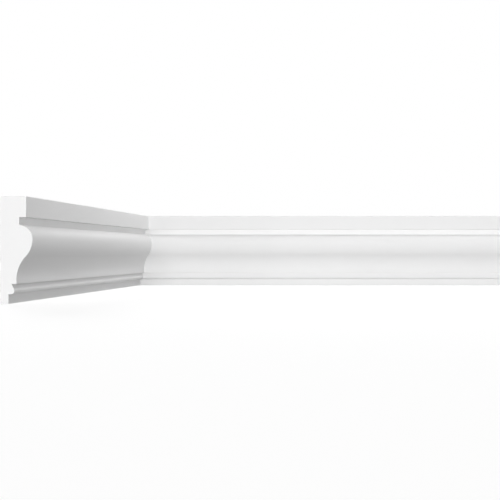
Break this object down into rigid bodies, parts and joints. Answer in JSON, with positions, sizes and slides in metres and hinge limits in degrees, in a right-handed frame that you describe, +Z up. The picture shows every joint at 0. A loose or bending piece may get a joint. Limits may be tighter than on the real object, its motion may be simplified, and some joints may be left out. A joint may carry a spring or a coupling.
{
  "type": "cornice moulding",
  "caption": "White cornice moulding mitred round an inside corner: stepped crown, ogee swell, cove, quirked bead and lower fascia, with flat back, top and bottom for wall and ceiling.",
  "frame": {"origin": "the corner of the two walls at the moulding's bottom edge, where the two backs meet", "axes": "+X along the long run, away from the corner; +Y into the wall behind the long run; +Z up to the ceiling"},
  "size_m": [2, 0.45, 0.1],
  "materials": {
    "white_primer": "smooth matt white factory primer on rigid foam"
  },
  "bodies": {
    "root": {"long_run": "white_primer", "short_return": "white_primer"}
  },
  "joints": []
}
